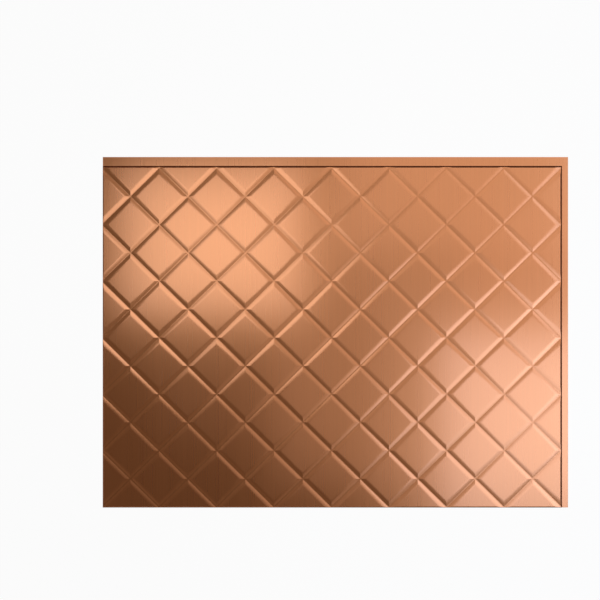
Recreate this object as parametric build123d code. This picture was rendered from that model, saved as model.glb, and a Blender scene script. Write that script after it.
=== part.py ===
from build123d import *
import os
from math import cos, floor, hypot, radians, sin, tan

# Quilted backsplash panel, lying on its back: one sheet of rigid vinyl formed into diamond pads.
# +X runs along the long side, +Y up the panel as it hangs and +Z out of the quilted face.
# The origin is at the middle of the panel, in the plane of the wall that it goes on.

# Sheet
panel_width = 616.0
panel_height = 464.0
sheet = 0.76  # thickness of the vinyl

# Flat laps along the top and the right-hand side, which the next panels cover
lap_right = 8.2
lap_top = 11.9
wall_height = 2.8  # of the pads above the laps
wall_angle = 52.0  # slope of the wall between them

# Diamond quilting: grooves cross on a lattice centred on the padded field
pitch_x = 76.0
pitch_y = 74.7
groove_width = 13.2
brim_slope = 3.0  # where a pad ends and a groove begins
flank_slope = 12.0  # steepest, beside the bottom of a groove
root_radius = 5.0  # round bottom of a groove

# Bends, as the radii on their inner sides
lip_bend = 1.2  # the left-hand and bottom edges turn down here
shoulder_bend = 0.4  # head of the wall
foot_bend = 0.8  # foot of the wall

# Groove section: two convex flanks that run on into a concave root
brim_turn = radians(brim_slope)
flank_turn = radians(flank_slope)
flank_radius = (groove_width / 2 - root_radius * sin(flank_turn)) / (sin(flank_turn) - sin(brim_turn))

# Heights of the front face
lap_face = sheet
field_face = lap_face + wall_height

# Padded field, from the outer edges of the lips to the heads of the walls
wall_run = wall_height / tan(radians(wall_angle))
field_width = panel_width - lap_right - wall_run
field_height = panel_height - lap_top - wall_run
field_centre = ((field_width - panel_width) / 2, (field_height - panel_height) / 2, 0)

# Grooves run along the diagonals of the lattice
diagonal = hypot(pitch_x, pitch_y)
groove_spacing = pitch_x * pitch_y / diagonal
field_reach = (field_width * pitch_y + field_height * pitch_x) / (2 * diagonal)
outermost_groove = floor(field_reach / groove_spacing)

beyond = panel_width + panel_height  # every block of the section runs past the sheet


def edge_block(plane, length, lap, inset):
    """Block under the sheet's outline from lip to lap, with its surface set in from the front face."""
    start = inset - length / 2
    foot = length / 2 - lap - inset * tan(radians(wall_angle / 2))
    end = length / 2 + inset
    face, lap_level, base = field_face - inset, lap_face - inset, -inset
    outline = FilletPolyline(
        (start, base),
        (start, face),
        (foot - wall_run, face),
        (foot, lap_level),
        (end, lap_level),
        radius=[lip_bend + sheet - inset, shoulder_bend + sheet - inset, foot_bend + inset],
    )
    closing = Polyline((end, lap_level), (end, base), (start, base))
    return plane * extrude(make_face([*outline.edges(), *closing.edges()]), beyond, both=True)


def groove_outline(middle, inset):
    """Groove's section as three arcs, from one brim to the other."""
    flank = flank_radius - inset
    root = root_radius + inset
    half = flank * (sin(flank_turn) - sin(brim_turn)) + root * sin(flank_turn)
    brim = field_face - inset

    def on_flank(turn, side):
        reach = half - flank * (sin(turn) - sin(brim_turn))
        return (middle + side * reach, brim - flank * (cos(brim_turn) - cos(turn)))

    halfway = (brim_turn + flank_turn) / 2
    left, right = on_flank(flank_turn, -1), on_flank(flank_turn, 1)
    bottom = (middle, left[1] - root * (1 - cos(flank_turn)))
    return [
        ThreePointArc((middle - half, brim), on_flank(halfway, -1), left),
        ThreePointArc(left, bottom, right),
        ThreePointArc(right, on_flank(halfway, 1), (middle + half, brim)),
    ]


def quilt_block(lean, inset):
    """Block under one family of parallel grooves, which lean to the right (1) or to the left (-1)."""
    edges = []
    brim, base = field_face - inset, -inset
    last = (-beyond, brim)
    for number in range(-outermost_groove, outermost_groove + 1):
        groove = groove_outline(number * groove_spacing, inset)
        edges += [Line(last, groove[0] @ 0), *groove]
        last = groove[-1] @ 1
    edges += Polyline(last, (beyond, brim), (beyond, base), (-beyond, base), (-beyond, brim)).edges()
    along = Vector(pitch_x, lean * pitch_y, 0)
    plane = Plane(origin=field_centre, x_dir=Vector(0, 0, 1).cross(along), z_dir=along)
    return plane * extrude(make_face(edges), beyond, both=True)


def quilted_block(inset):
    """Everything behind the quilted face, or behind a face set in from it."""
    across = edge_block(Plane.XZ, panel_width, lap_right, inset)
    upward = edge_block(Plane.YZ, panel_height, lap_top, inset)
    return across & upward & quilt_block(1, inset) & quilt_block(-1, inset)


def lip_relief(size_x, size_y):
    """Strip off the bottom of a lip, as deep as the lap that goes under it."""
    corner = Pos(-panel_width / 2, -panel_height / 2, 0)
    return corner * Box(size_x, size_y, sheet, align=(Align.MIN, Align.MIN, Align.MIN))


def quilted_panel():
    """The formed sheet: what lies between the front face and the back face."""
    formed = quilted_block(0) - quilted_block(sheet)
    lip = sheet + lip_bend
    back_foot = sheet * tan(radians(wall_angle / 2))
    side_lip = lip_relief(lip, panel_height - lap_top - back_foot)
    bottom_lip = lip_relief(panel_width - lap_right - back_foot, lip)
    return formed - side_lip - bottom_lip


os.makedirs("parts", exist_ok=True)
export_step(quilted_panel(), "parts/quilted_panel.step")
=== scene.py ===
"""Quilted copper backsplash panel: the formed sheet, its brushed film and a plain studio."""

from math import pi, radians, tan

import bpy
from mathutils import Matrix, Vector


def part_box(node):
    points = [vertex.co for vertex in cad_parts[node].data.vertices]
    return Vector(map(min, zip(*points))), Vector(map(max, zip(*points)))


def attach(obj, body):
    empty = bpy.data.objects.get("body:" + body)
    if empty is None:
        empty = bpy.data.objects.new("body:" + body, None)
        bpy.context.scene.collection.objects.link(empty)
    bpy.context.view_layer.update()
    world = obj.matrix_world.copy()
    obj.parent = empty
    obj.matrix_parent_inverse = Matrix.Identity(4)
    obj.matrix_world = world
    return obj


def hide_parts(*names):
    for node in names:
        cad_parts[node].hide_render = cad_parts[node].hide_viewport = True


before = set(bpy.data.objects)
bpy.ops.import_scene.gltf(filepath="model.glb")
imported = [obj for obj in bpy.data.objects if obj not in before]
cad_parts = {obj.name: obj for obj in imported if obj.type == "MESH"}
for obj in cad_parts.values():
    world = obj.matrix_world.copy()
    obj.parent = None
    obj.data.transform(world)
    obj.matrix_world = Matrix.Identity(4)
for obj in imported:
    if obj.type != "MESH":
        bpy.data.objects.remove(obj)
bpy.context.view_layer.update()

bl_info = {
    "name": "Quilted Backsplash Panel",
    "version": (1, 0, 0),
    "blender": (4, 5, 0),
    "location": "View3D > Sidebar > Backsplash",
    "description": "Forms a quilted copper backsplash panel and sets it in a plain studio",
    "category": "Object",
}

MM = 0.001
PANEL_NODE = "quilted_panel"
PANEL_LOW, PANEL_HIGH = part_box(PANEL_NODE)
PANEL_SIZE = PANEL_HIGH - PANEL_LOW


# Settings that a user would change


def length(name, description, default):
    """A size in metres."""
    return bpy.props.FloatProperty(
        name=name, description=description, default=default, min=0, unit="LENGTH", precision=5
    )


def slope(name, description, degrees):
    """An angle, given in degrees."""
    return bpy.props.FloatProperty(
        name=name, description=description, default=radians(degrees), min=0, max=pi / 2, subtype="ANGLE"
    )


def colour(name, description, default):
    """A colour, linear."""
    return bpy.props.FloatVectorProperty(
        name=name, description=description, default=default, min=0, max=1, size=3, subtype="COLOR"
    )


def share(name, description, default):
    """A number from 0 to 1."""
    return bpy.props.FloatProperty(
        name=name, description=description, default=default, min=0, max=1, subtype="FACTOR"
    )


class SheetSettings(bpy.types.PropertyGroup):
    """Section and quilting of the formed sheet."""

    width: length("Width", "Long side of the panel", PANEL_SIZE.x)
    height: length("Height", "Short side of the panel", PANEL_SIZE.y)
    sheet: length("Sheet", "Thickness of the vinyl", 0.76 * MM)
    lap_right: length("Lap Right", "Width of the flat lap at the right-hand side", 8.2 * MM)
    lap_top: length("Lap Top", "Width of the flat lap at the top", 11.9 * MM)
    wall_height: length("Wall Height", "Height of the pads above the laps", 2.8 * MM)
    wall_angle: slope("Wall Angle", "Slope of the walls between the laps and the pads", 52)
    pitch_x: length("Pitch X", "Crossing to crossing, along the panel", 76.0 * MM)
    pitch_y: length("Pitch Y", "Crossing to crossing, up the panel", 74.7 * MM)
    groove_width: length("Groove Width", "Groove from brim to brim", 13.2 * MM)
    brim_slope: slope("Brim Slope", "Slope where a pad ends and a groove begins", 3)
    flank_slope: slope("Flank Slope", "Steepest slope of a groove, beside its bottom", 12)
    root_radius: length("Root Radius", "Round bottom of a groove", 5.0 * MM)
    lip_bend: length("Lip Bend", "Inner radius where an edge turns down", 1.2 * MM)
    shoulder_bend: length("Shoulder Bend", "Inner radius at the head of a wall", 0.4 * MM)
    foot_bend: length("Foot Bend", "Inner radius at the foot of a wall", 0.8 * MM)
    flank_steps: bpy.props.IntProperty(
        name="Flank Steps", description="Facets across a groove's flank", default=8, min=1
    )
    root_steps: bpy.props.IntProperty(
        name="Root Steps", description="Facets across half a groove's root", default=6, min=1
    )
    bend_steps: bpy.props.IntProperty(
        name="Bend Steps", description="Facets across a bend of the outline", default=16, min=1
    )


class FilmSettings(bpy.types.PropertyGroup):
    """Finish of the film and of the bare vinyl behind it."""

    copper: colour("Copper", "Colour of the metallised film", (0.91, 0.335, 0.12))
    # Painted shade: a dark copper put on the walls, the lips and the bottoms of the grooves, in place of the
    # dark surroundings that they mirror and the shade there
    painted_shade: colour(
        "Stretched", "Colour of the film where the walls and lips stretch it", (0.15, 0.035, 0.010)
    )
    film_roughness: share("Film Roughness", "Blur of the metal's reflections", 0.28)
    coat_roughness: share("Coat Roughness", "Blur of the clear skin's reflections", 0.22)
    coat_index: bpy.props.FloatProperty(
        name="Coat Index", description="Refractive index of the clear skin", default=1.65, min=1, max=3
    )
    streak_width: length("Streak Width", "Brushed streak from side to side", 2.0 * MM)
    streak_length: length("Streak Length", "Brushed streak from end to end", 400.0 * MM)
    streak_tone: share("Streak Tone", "How much streaks lighten and darken the copper", 0.04)
    streak_relief: length("Streak Relief", "Height of the streaks", 0.001 * MM)
    vinyl: colour("Vinyl", "Colour of the bare vinyl", (0.50, 0.47, 0.43))
    vinyl_roughness: share("Vinyl Roughness", "Blur of the bare vinyl's reflections", 0.45)


class StageSettings(bpy.types.PropertyGroup):
    """Floor, lamps and camera."""

    floor: colour("Floor", "Colour of the floor", (0.9, 0.9, 0.9))
    floor_glow: share("Floor Glow", "Share of plain white in the floor that is seen", 0.95)
    surround: colour("Surround", "Colour of the dim room round the stage", (0.095, 0.075, 0.055))
    walls: colour("Walls", "Colour of the pale walls of the room", (0.40, 0.38, 0.36))
    lamp_height: length("Lamp Height", "Lamps above the floor", 0.45)
    camera_height: length("Camera Height", "Camera above the floor", 2.0)
    view_width: length("View Width", "Width of the floor that the camera sees", 0.7948)


# Node trees


class Quantity:
    """A number in a node tree. Arithmetic on it adds Math nodes."""

    def __init__(self, tree, socket):
        self.tree = tree
        self.socket = socket

    def math(self, operation, *others):
        node = self.tree.nodes.new("ShaderNodeMath")
        node.operation = operation
        for socket, value in zip(node.inputs, (self, *others)):
            join(self.tree, socket, value)
        return Quantity(self.tree, node.outputs[0])

    def __add__(self, other):
        return self.math("ADD", other)

    def __sub__(self, other):
        return self.math("SUBTRACT", other)

    def __mul__(self, other):
        return self.math("MULTIPLY", other)

    def __truediv__(self, other):
        return self.math("DIVIDE", other)

    def __neg__(self):
        return self.math("MULTIPLY", -1)

    def flipped(self):
        """One less the number."""
        return -self + 1

    def sin(self):
        return self.math("SINE")

    def cos(self):
        return self.math("COSINE")


def join(tree, socket, value):
    """Links a socket to another one, or sets it to a plain value."""
    if isinstance(value, Quantity):
        value = value.socket
    if isinstance(value, bpy.types.NodeSocket):
        tree.links.new(value, socket)
    else:
        socket.default_value = value


def place(tree, kind, inputs=None, **options):
    """Adds a node, sets its options and joins its inputs, which go by name or number."""
    node = tree.nodes.new(kind)
    for option, value in options.items():
        setattr(node, option, value)
    for key, value in (inputs or {}).items():
        for part in value if isinstance(value, list) else [value]:
            join(tree, node.inputs[key], part)
    return node


def vector(tree, x, y, z):
    """Vector socket of three numbers."""
    return place(tree, "ShaderNodeCombineXYZ", {"X": x, "Y": y, "Z": z}).outputs[0]


def parts_of(tree, socket):
    """The three numbers of a vector socket."""
    node = place(tree, "ShaderNodeSeparateXYZ", {0: socket})
    return [Quantity(tree, out) for out in node.outputs]


def either(tree, test, if_true, if_false):
    """One of two numbers, by a test."""
    inputs = {"Switch": test, "False": if_false, "True": if_true}
    return Quantity(tree, place(tree, "GeometryNodeSwitch", inputs, input_type="FLOAT").outputs[0])


SOCKETS = {
    "FLOAT": "NodeSocketFloat",
    "INT": "NodeSocketInt",
    "VECTOR": "NodeSocketVector",
    "GEOMETRY": "NodeSocketGeometry",
    "MATERIAL": "NodeSocketMaterial",
}


def new_tree(name, kind, inputs, outputs):
    """Node tree with named inputs and outputs, and its inputs as quantities."""
    tree = bpy.data.node_groups.new(name, kind)
    for label, socket in inputs.items():
        tree.interface.new_socket(label, in_out="INPUT", socket_type=SOCKETS[socket])
    for label, socket in outputs.items():
        tree.interface.new_socket(label, in_out="OUTPUT", socket_type=SOCKETS[socket])
    entry = tree.nodes.new("NodeGroupInput")
    given = {label: Quantity(tree, entry.outputs[label]) for label in inputs}
    return tree, given


def shape_tree(name, inputs):
    """Tree that makes a shape."""
    return new_tree(name, "GeometryNodeTree", inputs, {"Geometry": "GEOMETRY"})


def end_tree(tree, **results):
    """Joins the tree's results to its outputs."""
    place(tree, "NodeGroupOutput", {label.title(): value for label, value in results.items()})
    return tree


def use_tree(tree, group, given, **changed):
    """Places a tree inside another one, with inputs of the same names passed on."""
    kind = "GeometryNodeGroup" if tree.bl_idname == "GeometryNodeTree" else "ShaderNodeGroup"
    node = place(tree, kind, node_tree=group)
    for socket in node.inputs:
        value = changed.get(socket.name.replace(" ", "_").lower(), given.get(socket.name))
        join(tree, socket, value)
    return [Quantity(tree, socket) for socket in node.outputs]


MERGE = 0.002 * MM  # points nearer than this are one
SOLVER = "MANIFOLD"
SMOOTH_BEND = radians(7)  # flatter bends than this are shaded smooth
LEVEL = 0.05  # a normal that rises less than this counts as level

GROOVE_INPUTS = {
    "Pitch X": "FLOAT", "Pitch Y": "FLOAT", "Groove Width": "FLOAT", "Brim Slope": "FLOAT",
    "Flank Slope": "FLOAT", "Root Radius": "FLOAT", "Flank Steps": "INT", "Root Steps": "INT",
}
EDGE_INPUTS = {
    "Sheet": "FLOAT", "Wall Height": "FLOAT", "Wall Angle": "FLOAT", "Lip Bend": "FLOAT",
    "Shoulder Bend": "FLOAT", "Foot Bend": "FLOAT", "Bend Steps": "INT",
}


def wall_run_of(given):
    """Breadth of a wall, seen from the front."""
    return given["Wall Height"] / given["Wall Angle"].math("TANGENT")


def pad_tree():
    """One diamond pad, with half of the groove round it: rings that close in on the flat top."""
    tree, given = shape_tree("Diamond Pad", {**GROOVE_INPUTS, "Face": "FLOAT", "Inset": "FLOAT"})
    inset, brim, steep = given["Inset"], given["Brim Slope"], given["Flank Slope"]
    spread = steep.sin() - brim.sin()
    flank = (given["Groove Width"] / 2 - given["Root Radius"] * steep.sin()) / spread - inset
    root = given["Root Radius"] + inset
    half = flank * spread + root * steep.sin()
    face = given["Face"] - inset
    bottom = face - flank * (brim.cos() - steep.cos()) - root * steep.cos().flipped()
    across_x, across_y = given["Pitch X"] / 2, given["Pitch Y"] / 2
    diagonal = (across_x * across_x + across_y * across_y).math("SQRT")
    middle = across_x * across_y / diagonal

    steps = given["Flank Steps"] + given["Root Steps"]
    grid = place(tree, "GeometryNodeMeshGrid", {
        "Size X": steps, "Size Y": 4, "Vertices X": steps + 1, "Vertices Y": 5,
    }).outputs["Mesh"]
    here = place(tree, "GeometryNodeInputPosition").outputs[0]
    x, y, _ = parts_of(tree, here)
    ring, corner = x + steps / 2, y + 2
    on_flank = brim + (steep - brim) * (ring / given["Flank Steps"])
    on_root = steep * ((steps - ring) / given["Root Steps"])
    in_root = ring.math("GREATER_THAN", given["Flank Steps"] + 0.5)
    offset = either(tree, in_root, root * on_root.sin(), half - flank * (on_flank.sin() - brim.sin()))
    low = bottom + root * on_root.cos().flipped()
    high = face - flank * (brim.cos() - on_flank.cos())
    size = (offset / middle).flipped()
    angle = corner * (pi / 2)
    place_at = vector(tree, angle.cos() * across_x * size, angle.sin() * across_y * size,
                      either(tree, in_root, low, high))
    rings = place(tree, "GeometryNodeSetPosition", {"Geometry": grid, "Position": place_at}).outputs[0]

    top = place(tree, "GeometryNodeMeshCircle", {"Vertices": 4, "Radius": 1.0}, fill_type="NGON").outputs[0]
    top_size = (half / middle).flipped()
    top_at = vector(tree, x * across_x * top_size, y * across_y * top_size, face)
    top = place(tree, "GeometryNodeSetPosition", {"Geometry": top, "Position": top_at}).outputs[0]
    whole = place(tree, "GeometryNodeJoinGeometry", {"Geometry": [rings, top]}).outputs[0]
    merged = place(tree, "GeometryNodeMergeByDistance", {"Geometry": whole, "Distance": MERGE})
    return end_tree(tree, geometry=merged.outputs[0])


def quilt_tree(pad):
    """Block under the quilted face: pads on every other point of a lattice, closed underneath."""
    tree, given = shape_tree("Quilt Block", {
        **GROOVE_INPUTS, "Face": "FLOAT", "Inset": "FLOAT", "Columns": "INT", "Rows": "INT", "Base": "FLOAT",
        "Centre X": "FLOAT", "Centre Y": "FLOAT",
    })
    step_x, step_y = given["Pitch X"] / 2, given["Pitch Y"] / 2
    lattice = place(tree, "GeometryNodeMeshGrid", {
        "Size X": (given["Columns"] - 1) * step_x, "Size Y": (given["Rows"] - 1) * step_y,
        "Vertices X": given["Columns"], "Vertices Y": given["Rows"],
    }).outputs["Mesh"]
    here = place(tree, "GeometryNodeInputPosition").outputs[0]
    x, y, _ = parts_of(tree, here)
    steps = (x / step_x).math("ROUND") + (y / step_y).math("ROUND")
    every_other = steps.math("FLOORED_MODULO", 2).math("GREATER_THAN", 0.5)
    one_pad, = use_tree(tree, pad, given)
    pads = place(tree, "GeometryNodeInstanceOnPoints", {
        "Points": lattice, "Selection": every_other, "Instance": one_pad,
    }).outputs[0]
    pads = place(tree, "GeometryNodeRealizeInstances", {0: pads}).outputs[0]
    face = place(tree, "GeometryNodeMergeByDistance", {"Geometry": pads, "Distance": MERGE}).outputs[0]
    return end_tree(tree, geometry=closed_below(tree, face, given))


def closed_below(tree, face, given):
    """Block between a face and the plane at its base."""
    here = place(tree, "GeometryNodeInputPosition").outputs[0]
    x, y, _ = parts_of(tree, here)
    at_base = vector(tree, x, y, given["Base"])
    skirt = place(tree, "GeometryNodeExtrudeMesh", {"Mesh": face, "Offset Scale": 0.0, "Individual": False})
    rim = place(tree, "FunctionNodeBooleanMath", {0: skirt.outputs["Top"]}, operation="NOT").outputs[0]
    sides = place(tree, "GeometryNodeSetPosition", {
        "Geometry": skirt.outputs["Mesh"], "Selection": rim, "Position": at_base,
    }).outputs[0]
    under = place(tree, "GeometryNodeSetPosition", {"Geometry": face, "Position": at_base}).outputs[0]
    under = place(tree, "GeometryNodeFlipFaces", {"Mesh": under}).outputs[0]
    block = place(tree, "GeometryNodeJoinGeometry", {"Geometry": [sides, under]}).outputs[0]
    block = place(tree, "GeometryNodeMergeByDistance", {"Geometry": block, "Distance": MERGE}).outputs[0]
    centre = vector(tree, given["Centre X"], given["Centre Y"], 0.0)
    return place(tree, "GeometryNodeTransform", {"Geometry": block, "Translation": centre}).outputs[0]


def edge_tree():
    """Block under the outline from lip to lap, drawn as a section along X and run along Y."""
    tree, given = shape_tree("Edge Block", {
        **EDGE_INPUTS, "Face": "FLOAT", "Inset": "FLOAT", "Length": "FLOAT", "Lap": "FLOAT", "Run": "FLOAT",
    })
    inset, sheet = given["Inset"], given["Sheet"]
    half = given["Length"] / 2
    start, end = inset - half, half + inset
    foot = half - given["Lap"] - inset * (given["Wall Angle"] / 2).math("TANGENT")
    head = foot - wall_run_of(given)
    face, lap, base = given["Face"] - inset, sheet - inset, -inset
    corners = [(start, base), (start, face), (head, face), (foot, lap), (end, lap), (end, base)]
    bends = [0.0, given["Lip Bend"] + sheet - inset, given["Shoulder Bend"] + sheet - inset,
             given["Foot Bend"] + inset, 0.0, 0.0]

    index = place(tree, "GeometryNodeInputIndex").outputs[0]

    def by_corner(values, data_type):
        node = place(tree, "GeometryNodeIndexSwitch", data_type=data_type)
        while len(node.index_switch_items) < len(values):
            node.index_switch_items.new()
        join(tree, node.inputs["Index"], index)
        for number, value in enumerate(values):
            join(tree, node.inputs[str(number)], value)
        return node.outputs[0]

    line = place(tree, "GeometryNodeMeshLine", {"Count": len(corners)}).outputs[0]
    line = place(tree, "GeometryNodeMeshToCurve", {"Mesh": line}).outputs[0]
    line = place(tree, "GeometryNodeSetSplineCyclic", {"Geometry": line, "Cyclic": True}).outputs[0]
    at = by_corner([vector(tree, x, y, 0.0) for x, y in corners], "VECTOR")
    line = place(tree, "GeometryNodeSetPosition", {"Geometry": line, "Position": at}).outputs[0]
    line = place(tree, "GeometryNodeFilletCurve", {
        "Curve": line, "Count": given["Bend Steps"], "Radius": by_corner(bends, "FLOAT"),
    }, mode="POLY").outputs[0]
    section = place(tree, "GeometryNodeFillCurve", {"Curve": line}, mode="NGONS").outputs[0]
    run = vector(tree, 0.0, 0.0, given["Run"])
    body = place(tree, "GeometryNodeExtrudeMesh", {"Mesh": section, "Offset": run}).outputs["Mesh"]
    back = place(tree, "GeometryNodeFlipFaces", {"Mesh": section}).outputs[0]
    block = place(tree, "GeometryNodeJoinGeometry", {"Geometry": [body, back]}).outputs[0]
    block = place(tree, "GeometryNodeMergeByDistance", {"Geometry": block, "Distance": MERGE}).outputs[0]
    block = place(tree, "GeometryNodeTransform", {
        "Geometry": block, "Translation": vector(tree, 0.0, given["Run"] / 2, 0.0),
        "Rotation": (pi / 2, 0.0, 0.0),
    }).outputs[0]
    return end_tree(tree, geometry=block)


def main_inputs(settings):
    """Names and kinds of the sheet tree's inputs, from the settings."""
    kinds = {}
    for prop in settings.bl_rna.properties:
        if prop.type in ("FLOAT", "INT"):
            kinds[prop.name] = prop.type
    return kinds


def sheet_tree(settings):
    """The formed sheet: what lies between the block under its front and the block under its back."""
    quilt, edge = quilt_tree(pad_tree()), edge_tree()
    inputs = {**main_inputs(settings), "Film": "MATERIAL", "Vinyl": "MATERIAL"}
    tree, given = shape_tree("Quilted Sheet", inputs)
    sheet, run = given["Sheet"], wall_run_of(given)
    face = sheet + given["Wall Height"]
    field_x = given["Width"] - given["Lap Right"] - run
    field_y = given["Height"] - given["Lap Top"] - run
    columns = (field_x / given["Pitch X"]).math("CEIL") * 2 + 3
    rows = (field_y / given["Pitch Y"]).math("CEIL") * 2 + 3
    far = given["Width"] + given["Height"]

    def block(inset):
        """Everything behind the quilted face, or behind a face set in from it."""
        pads, = use_tree(tree, quilt, given, face=face, inset=inset, columns=columns, rows=rows,
                         base=-(sheet * 3), centre_x=(field_x - given["Width"]) / 2,
                         centre_y=(field_y - given["Height"]) / 2)
        across, = use_tree(tree, edge, given, face=face, inset=inset, length=given["Width"],
                           lap=given["Lap Right"], run=far)
        upward, = use_tree(tree, edge, given, face=face, inset=inset, length=given["Height"],
                           lap=given["Lap Top"], run=far)
        upward = place(tree, "GeometryNodeTransform", {"Geometry": upward, "Rotation": (0.0, 0.0, pi / 2)})
        return place(tree, "GeometryNodeMeshBoolean", {1: [pads, across, upward.outputs[0]]},
                     operation="INTERSECT", solver=SOLVER).outputs["Mesh"]

    lip = sheet + given["Lip Bend"]
    back_foot = sheet * (given["Wall Angle"] / 2).math("TANGENT")

    def relief(size_x, size_y):
        """Strip off the bottom of a lip, as deep as a lap."""
        size = vector(tree, size_x, size_y, sheet * 2)
        cube = place(tree, "GeometryNodeMeshCube", {"Size": size}).outputs[0]
        to = vector(tree, (size_x - given["Width"]) / 2, (size_y - given["Height"]) / 2, 0.0)
        return place(tree, "GeometryNodeTransform", {"Geometry": cube, "Translation": to}).outputs[0]

    side = relief(lip, given["Height"] - given["Lap Top"] - back_foot)
    bottom = relief(given["Width"] - given["Lap Right"] - back_foot, lip)
    formed = place(tree, "GeometryNodeMeshBoolean", {
        0: block(0.0), 1: [block(sheet), side, bottom],
    }, operation="DIFFERENCE", solver=SOLVER).outputs["Mesh"]
    formed = place(tree, "GeometryNodeMergeByDistance", {"Geometry": formed, "Distance": MERGE}).outputs[0]
    formed = place(tree, "GeometryNodeSetShadeSmooth", {"Geometry": formed}).outputs[0]
    bend = Quantity(tree, place(tree, "GeometryNodeInputMeshEdgeAngle").outputs["Unsigned Angle"])
    sharp = bend.math("GREATER_THAN", SMOOTH_BEND)
    formed = place(tree, "GeometryNodeSetShadeSmooth", {
        "Geometry": formed, "Selection": sharp, "Shade Smooth": False,
    }, domain="EDGE").outputs[0]
    formed = place(tree, "GeometryNodeRealizeInstances", {0: formed}).outputs[0]
    for selection, material in ((True, "Vinyl"), (filmed(tree, given), "Film")):
        formed = place(tree, "GeometryNodeSetMaterial", {
            "Geometry": formed, "Selection": selection, "Material": given[material],
        }).outputs[0]
    return end_tree(tree, geometry=formed)


def filmed(tree, given):
    """Picks the faces that carry the film: all that look outwards, and the outer sides of the lips."""
    x, y, _ = parts_of(tree, place(tree, "GeometryNodeInputPosition").outputs[0])
    aim_x, aim_y, aim_z = parts_of(tree, place(tree, "GeometryNodeInputNormal").outputs[0])
    outwards = aim_z.math("GREATER_THAN", LEVEL)
    for place_at, aim, size in ((x, aim_x, given["Width"]), (y, aim_y, given["Height"])):
        at_lip = place_at.math("LESS_THAN", given["Sheet"] / 4 - size / 2)
        turned_out = aim.math("LESS_THAN", LEVEL - 1)
        outwards = outwards.math("MAXIMUM", at_lip * turned_out)
    return outwards


# Finishes


def new_material(name):
    """Material with a bare Principled BSDF, and its tree and shader."""
    material = bpy.data.materials.new(name)
    material.use_nodes = True
    return material, material.node_tree, material.node_tree.nodes["Principled BSDF"]


def noise(tree, at, scale, detail, roughness=0.5):
    """Fractal noise from about 0 to 1."""
    inputs = {"Vector": at, "Scale": scale, "Detail": detail, "Roughness": roughness}
    return Quantity(tree, place(tree, "ShaderNodeTexNoise", inputs).outputs[0])


def faded(tree, value, start, end):
    """Runs smoothly from 1 at the start to 0 at the end."""
    inputs = {"Value": value, "From Min": start, "From Max": end, "To Min": 1.0, "To Max": 0.0}
    node = place(tree, "ShaderNodeMapRange", inputs, interpolation_type="SMOOTHSTEP")
    return Quantity(tree, node.outputs[0])


SCRATCH_SIZE = 0.3  # scratches' width and length against the bands'


def brushed_grain():
    """Shared effect: streaks up the panel as broad bands and as fine scratches, both from 0 to 1."""
    inputs = {"Place": "VECTOR", "Streak Width": "FLOAT", "Streak Length": "FLOAT"}
    outputs = {"Bands": "FLOAT", "Scratches": "FLOAT"}
    tree, given = new_tree("Brushed Grain", "ShaderNodeTree", inputs, outputs)
    x, y, z = parts_of(tree, given["Place"])

    def streaks(part):
        """Noise drawn out along the panel, at a part of the streaks' size."""
        width, run = given["Streak Width"] * part, given["Streak Length"] * part
        drawn_out = vector(tree, x / width, y / run, z / width)
        return noise(tree, drawn_out, scale=1.0, detail=3.0, roughness=0.6)

    return end_tree(tree, bands=streaks(1.0), scratches=streaks(SCRATCH_SIZE))


CREASE_SHARE = 2 / 7  # of a groove's width
SCUFF_SCALE = 90.0  # patches in a metre


def quilt_wear_and_shade():
    """Shared effect: how far a spot lies down in a groove, at its bottom, and near the panel's rim, as masks
    of wear and of the painted shade at the groove bottoms.
    """
    inputs = {
        "Place": "VECTOR", "Width": "FLOAT", "Height": "FLOAT", "Pitch X": "FLOAT", "Pitch Y": "FLOAT",
        "Centre X": "FLOAT", "Centre Y": "FLOAT", "Groove Width": "FLOAT", "Lap Level": "FLOAT",
        "Rim": "FLOAT",
    }
    outputs = {"Groove": "FLOAT", "Crease": "FLOAT", "Scuff": "FLOAT"}
    tree, given = new_tree("Quilt Wear And Shade", "ShaderNodeTree", inputs, outputs)
    x, y, z = parts_of(tree, given["Place"])
    across = (x - given["Centre X"]) / given["Pitch X"]
    up = (y - given["Centre Y"]) / given["Pitch Y"]
    diagonal = (given["Pitch X"] * given["Pitch X"] + given["Pitch Y"] * given["Pitch Y"]).math("SQRT")
    spacing = given["Pitch X"] * given["Pitch Y"] / diagonal
    nearest = (across + up).math("PINGPONG", 0.5).math("MINIMUM", (across - up).math("PINGPONG", 0.5))
    half_groove = given["Groove Width"] / 2
    on_pads = faded(tree, z, given["Lap Level"] * 3, given["Lap Level"] * 2)
    groove = faded(tree, nearest * spacing, 0.0, half_groove) * on_pads
    crease = faded(tree, nearest * spacing, 0.0, half_groove * CREASE_SHARE) * on_pads

    to_side = given["Width"] / 2 - x.math("ABSOLUTE")
    to_end = given["Height"] / 2 - y.math("ABSOLUTE")
    rim = faded(tree, to_side.math("MINIMUM", to_end), 0.0, given["Rim"])
    patches = noise(tree, given["Place"], SCUFF_SCALE, detail=4.0)
    return end_tree(tree, groove=groove, crease=crease, scuff=rim * patches)


def tones(tree, factor, dark, light):
    """Colour between two others."""
    node = place(tree, "ShaderNodeMix", data_type="RGBA")
    # The sockets for colours come after those for numbers and vectors, which have the same names
    for number, value in ((0, factor), (6, dark), (7, light)):
        join(tree, node.inputs[number], value)
    return node.outputs[2]


def shaded(colour_value, scale):
    """A colour made lighter or darker, for a colour socket."""
    return (*(min(part * scale, 1.0) for part in colour_value), 1)


def object_place(tree):
    """Place on the panel, in metres."""
    return place(tree, "ShaderNodeTexCoord").outputs["Object"]


GENTLE = 0.98  # rise of the normal where the painted shade of the walls begins
STEEP = 0.84  # rise of the normal where the painted shade of the walls is full


def steepness(tree):
    """Runs from 0 on the pads and laps to 1 on the walls and lips."""
    _, _, rise = parts_of(tree, place(tree, "ShaderNodeTexCoord").outputs["Normal"])
    return faded(tree, rise, STEEP, GENTLE)


RIM = 3 * MM  # breadth of the scuffs along the panel's rim


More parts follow.
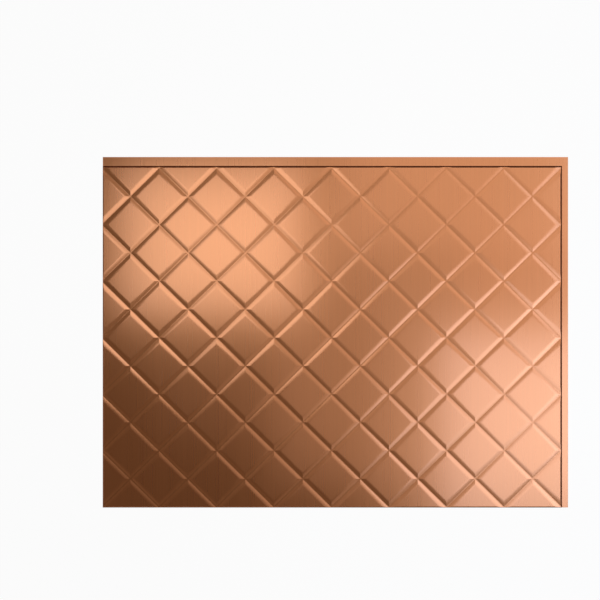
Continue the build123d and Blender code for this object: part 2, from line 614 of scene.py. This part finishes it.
def worn(tree, mask_group, sheet):
    """Places the masks of the quilting's wear and of its painted shade in a material, at the sheet's sizes.
    """
    run = sheet.wall_height / tan(sheet.wall_angle)
    return use_tree(
        tree, mask_group, {}, place=object_place(tree), width=sheet.width, height=sheet.height,
        pitch_x=sheet.pitch_x, pitch_y=sheet.pitch_y, centre_x=-(sheet.lap_right + run) / 2,
        centre_y=-(sheet.lap_top + run) / 2, groove_width=sheet.groove_width, lap_level=sheet.sheet, rim=RIM,
    )


# How far each effect shows in the film
BAND_SHARE = 0.7  # of the streaks, the rest being scratches
DRAWN_TONE = 1.1  # of the film that is drawn or scuffed, against the rest
# The third share is of the painted shade that darkens the bottom of each groove
GROOVE_DRAWN, RIM_SCUFFED, CREASE_SHADE = 0.25, 0.30, 0.15
STREAK_BLUR, GROOVE_BLUR, SCUFF_BLUR = 0.06, 0.02, 0.15
STEEP_BARE, CREASE_BARE = 0.9, 0.3  # loss of the clear skin where shade is painted, on the walls and at the groove bottoms


def copper_film(finish, sheet, grain, mask_group):
    """Metallised copper under a clear skin, brushed up the panel and a little drawn thin in the grooves,
    with painted shade on its walls, lips and groove bottoms.
    """
    material, tree, shader = new_material("brushed_copper_film")
    bands, scratches = use_tree(
        tree, grain, {}, place=object_place(tree), streak_width=finish.streak_width,
        streak_length=finish.streak_length,
    )
    groove, crease, scuff = worn(tree, mask_group, sheet)
    steep = steepness(tree)
    streaks = bands * BAND_SHARE + scratches * (1 - BAND_SHARE)
    dark = shaded(finish.copper, 1 - finish.streak_tone * 2)
    light = shaded(finish.copper, 1 + finish.streak_tone * 2)
    brushed = tones(tree, streaks, dark, light)
    thinned = groove * GROOVE_DRAWN + scuff * RIM_SCUFFED
    drawn = tones(tree, thinned, brushed, shaded(finish.copper, DRAWN_TONE))
    # Painted shade: a thin dark line at the bottom of each groove, standing in for the shade there
    root_shaded = tones(tree, crease * CREASE_SHADE, drawn, (*finish.painted_shade, 1))
    # Painted shade: the walls and lips take the dark copper, standing in for the dark surroundings that they
    # mirror
    join(tree, shader.inputs["Base Color"], tones(tree, steep, root_shaded, (*finish.painted_shade, 1)))
    shader.inputs["Metallic"].default_value = 1.0
    blur = (streaks - 0.5) * STREAK_BLUR + groove * GROOVE_BLUR + scuff * SCUFF_BLUR
    join(tree, shader.inputs["Roughness"], blur + finish.film_roughness)
    bare = (steep * STEEP_BARE).math("MAXIMUM", crease * CREASE_BARE)
    join(tree, shader.inputs["Coat Weight"], bare.flipped())
    shader.inputs["Coat Roughness"].default_value = finish.coat_roughness
    shader.inputs["Coat IOR"].default_value = finish.coat_index
    bumps = {"Strength": 1.0, "Distance": finish.streak_relief, "Height": streaks}
    join(tree, shader.inputs["Normal"], place(tree, "ShaderNodeBump", bumps).outputs[0])
    return material


# How far each effect shows in the bare vinyl
MOTTLE_SCALE, MOTTLE_TONE = 25.0, 0.12
PALE_TONE = 1.25  # of the vinyl that is drawn or scuffed, against the rest
GROOVE_PALE, CREASE_PALE, RIM_PALE = 0.3, 0.1, 0.5
BAND_DULL, SCUFF_DULL = 0.15, 0.2
PEEL_SCALE, PEEL_RELIEF = 600.0, 0.02 * MM  # texture left by the mould
PEEL_STRENGTH, SCRATCH_RELIEF = 0.4, 0.5


def bare_vinyl(finish, sheet, grain, mask_group):
    """Back of the sheet and its cut edges: matt vinyl with the mould's faint texture."""
    material, tree, shader = new_material("bare_vinyl")
    here = object_place(tree)
    bands, scratches = use_tree(
        tree, grain, {}, place=here, streak_width=finish.streak_width * 2, streak_length=finish.streak_length
    )
    groove, crease, scuff = worn(tree, mask_group, sheet)
    mottle = noise(tree, here, MOTTLE_SCALE, detail=4.0)
    peel = noise(tree, here, PEEL_SCALE, detail=2.0)
    dark, light = shaded(finish.vinyl, 1 - MOTTLE_TONE), shaded(finish.vinyl, 1 + MOTTLE_TONE)
    mottled = tones(tree, mottle, dark, light)
    paled = groove * GROOVE_PALE + crease * CREASE_PALE + scuff * RIM_PALE
    join(tree, shader.inputs["Base Color"], tones(tree, paled, mottled, shaded(finish.vinyl, PALE_TONE)))
    dulled = (bands - 0.5) * BAND_DULL + scuff * SCUFF_DULL
    join(tree, shader.inputs["Roughness"], dulled + finish.vinyl_roughness)
    relief = peel + scratches * SCRATCH_RELIEF
    bumps = {"Strength": PEEL_STRENGTH, "Distance": PEEL_RELIEF, "Height": relief}
    join(tree, shader.inputs["Normal"], place(tree, "ShaderNodeBump", bumps).outputs[0])
    return material


# Operators


class BACKSPLASH_OT_form_sheet(bpy.types.Operator):
    """Form the quilted sheet, with its film and its bare back"""

    bl_idname = "backsplash.form_sheet"
    bl_label = "Form Sheet"

    def execute(self, context):
        settings, finish = context.scene.backsplash_sheet, context.scene.backsplash_film
        panel = bpy.data.objects.new("quilted_sheet", bpy.data.meshes.new("quilted_sheet"))
        context.scene.collection.objects.link(panel)
        modifier = panel.modifiers.new("Quilted Sheet", "NODES")
        modifier.node_group = sheet_tree(settings)
        values = {prop.name: getattr(settings, prop.identifier) for prop in settings.bl_rna.properties}
        effects = (brushed_grain(), quilt_wear_and_shade())
        values["Film"] = copper_film(finish, settings, *effects)
        values["Vinyl"] = bare_vinyl(finish, settings, *effects)
        for item in modifier.node_group.interface.items_tree:
            if item.in_out == "INPUT":
                modifier[item.identifier] = values[item.name]
        weighted = panel.modifiers.new("Even Pads", "WEIGHTED_NORMAL")
        weighted.keep_sharp = True
        graph = context.evaluated_depsgraph_get()
        mesh = bpy.data.meshes.new_from_object(panel.evaluated_get(graph), depsgraph=graph)
        if not mesh.polygons:
            raise RuntimeError("the sheet came out empty")
        panel.modifiers.clear()
        panel.data = mesh
        # The booleans leave an empty slot beside the two materials
        while None in mesh.materials[:]:
            mesh.materials.pop(index=mesh.materials[:].index(None))
        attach(panel, "root")
        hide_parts(PANEL_NODE)
        return {"FINISHED"}


class BACKSPLASH_OT_set_stage(bpy.types.Operator):
    """Set the floor, the lamps and the camera"""

    bl_idname = "backsplash.set_stage"
    bl_label = "Set Stage"

    def execute(self, context):
        settings = context.scene.backsplash_stage
        floor(context.scene, settings)
        surround(context.scene, settings)
        lamps(context.scene, settings)
        camera(context.scene, settings)
        context.scene.view_settings.view_transform = "Standard"
        return {"FINISHED"}


FLOOR_REACH = 20.0
FLOOR_LEVEL = -0.3 * MM  # just clear of the panel


def floor(scene, settings):
    """Pale floor just under the panel, which shows mostly as plain white and keeps the shadow."""
    corners = [(-1, -1), (1, -1), (1, 1), (-1, 1)]
    points = [(x * FLOOR_REACH, y * FLOOR_REACH, FLOOR_LEVEL) for x, y in corners]
    mesh = bpy.data.meshes.new("floor")
    mesh.from_pydata(points, [], [range(len(points))])
    obj = bpy.data.objects.new("floor", mesh)
    scene.collection.objects.link(obj)
    material, tree, shader = new_material("floor")
    shader.inputs["Base Color"].default_value = (*settings.floor, 1)
    shader.inputs["Roughness"].default_value = 1.0
    shader.inputs["Specular IOR Level"].default_value = 0.0
    light = place(tree, "ShaderNodeLightPath")
    seen = Quantity(tree, light.outputs["Is Camera Ray"])
    for ray in ("Is Glossy Ray", "Is Transmission Ray"):
        seen = seen.math("MAXIMUM", light.outputs[ray])
    white = place(tree, "ShaderNodeEmission", {"Color": (1, 1, 1, 1), "Strength": 1.0}).outputs[0]
    both = place(tree, "ShaderNodeMixShader", {
        0: seen * settings.floor_glow, 1: shader.outputs[0], 2: white,
    }).outputs[0]
    join(tree, tree.nodes["Material Output"].inputs["Surface"], both)
    mesh.materials.append(material)


ROOM_STOPS = (0.20, 0.45, 0.70, 0.86)  # up the room: dim, then pale from the second to the third, then dim


def surround(scene, settings):
    """Dim room round the stage, with pale walls above the level of the floor and below the lamps."""
    world = bpy.data.worlds.new("surround")
    world.use_nodes = True
    tree = world.node_tree
    _, _, rise = parts_of(tree, place(tree, "ShaderNodeTexCoord").outputs["Generated"])
    node = place(tree, "ShaderNodeValToRGB", {0: rise})
    ramp = node.color_ramp
    ramp.interpolation = "EASE"
    dim, pale = (*settings.surround, 1), (*settings.walls, 1)
    for stop, tone in zip(ROOM_STOPS, (dim, pale, pale, dim)):
        ramp.elements.new(stop).color = tone
    for edge in (0, -1):
        ramp.elements[edge].color = dim
    join(tree, tree.nodes["Background"].inputs["Color"], node.outputs[0])
    scene.world = world


# Tints of the lamps
WARM = (1.0, 0.75, 0.65)
NEUTRAL = (1.0, 1.0, 1.0)
COOL = (0.78, 0.89, 1.0)
DAYLIGHT = (0.46, 0.65, 1.0)

# Lamps by their lower and upper corners over the panel, their glow and their tint
BRIGHT_LAMPS = {
    "lamp_left": ((-0.34, 0.02), (-0.05, 0.26), 1.02, COOL),
    "lamp_right": ((0.18, -0.35), (0.56, -0.01), 0.68, DAYLIGHT),
    "lamp_top": ((-0.44, 0.41), (0.35, 0.56), 0.52, NEUTRAL),
}
FILL_LAMPS = {
    "fill_edge": ((0.43, -0.35), (0.56, 0.56), 0.62, DAYLIGHT),
    "fill_corner": ((0.02, 0.12), (0.56, 0.56), 0.38, NEUTRAL),
    "fill_middle": ((-0.09, -0.26), (0.54, 0.40), 0.21, NEUTRAL),
    "fill_right": ((0.06, -0.46), (0.56, 0.10), 0.16, NEUTRAL),
    "fill_left": ((-0.28, -0.18), (0.02, 0.36), 0.07, NEUTRAL),
    "fill_side": ((0.22, -0.01), (0.56, 0.16), 0.14, WARM),
}
FILL_STEP = 5 * MM  # each fill hangs this far above the last, because lamps in one plane hide each other


def softbox(scene, name, level, low, high, glow, tint):
    """Soft lamp that faces down. Its glow is how bright its red shows in a mirror under it."""
    lamp = bpy.data.lights.new(name, "AREA")
    lamp.shape = "RECTANGLE"
    lamp.size, lamp.size_y = high[0] - low[0], high[1] - low[1]
    lamp.color = tint
    lamp.energy = glow / tint[0] * pi * lamp.size * lamp.size_y
    obj = bpy.data.objects.new(name, lamp)
    obj.location = ((low[0] + high[0]) / 2, (low[1] + high[1]) / 2, level)
    obj.visible_camera = False
    scene.collection.objects.link(obj)


def lamps(scene, settings):
    """Bright lamps over the upper left and the right, with weak ones above them to fill the rest."""
    for name, lamp in BRIGHT_LAMPS.items():
        softbox(scene, name, settings.lamp_height, *lamp)
    for number, (name, lamp) in enumerate(FILL_LAMPS.items(), start=1):
        softbox(scene, name, settings.lamp_height + number * FILL_STEP, *lamp)


CAMERA_X, CAMERA_Y = -0.0469, 0.0427  # the point of the panel that the picture's middle shows


def camera(scene, settings):
    """Camera that looks straight down, as far off the panel's middle as the photograph has it."""
    lens = bpy.data.cameras.new("camera")
    lens.lens = lens.sensor_width * settings.camera_height / settings.view_width
    lens.clip_end = 100
    obj = bpy.data.objects.new("camera", lens)
    obj.location = (CAMERA_X, CAMERA_Y, settings.camera_height)
    scene.collection.objects.link(obj)
    scene.camera = obj


class BACKSPLASH_PT_sidebar(bpy.types.Panel):
    """Settings and steps of the backsplash panel"""

    bl_idname = "BACKSPLASH_PT_sidebar"
    bl_label = "Backsplash Panel"
    bl_space_type = "VIEW_3D"
    bl_region_type = "UI"
    bl_category = "Backsplash"

    def draw(self, context):
        for operator in OPERATORS:
            self.layout.operator(operator.bl_idname)
        for name, group in SETTINGS.items():
            box = self.layout.box()
            for prop in group.__annotations__:
                box.prop(getattr(context.scene, name), prop)


OPERATORS = (BACKSPLASH_OT_form_sheet, BACKSPLASH_OT_set_stage)
SETTINGS = {
    "backsplash_sheet": SheetSettings,
    "backsplash_film": FilmSettings,
    "backsplash_stage": StageSettings,
}
CLASSES = (*SETTINGS.values(), *OPERATORS, BACKSPLASH_PT_sidebar)


def register():
    for cls in CLASSES:
        bpy.utils.register_class(cls)
    for name, group in SETTINGS.items():
        setattr(bpy.types.Scene, name, bpy.props.PointerProperty(type=group))


def unregister():
    for name in SETTINGS:
        delattr(bpy.types.Scene, name)
    for cls in reversed(CLASSES):
        bpy.utils.unregister_class(cls)


def main():
    register()
    bpy.ops.backsplash.form_sheet()
    bpy.ops.backsplash.set_stage()


if __name__ == "__main__":
    main()
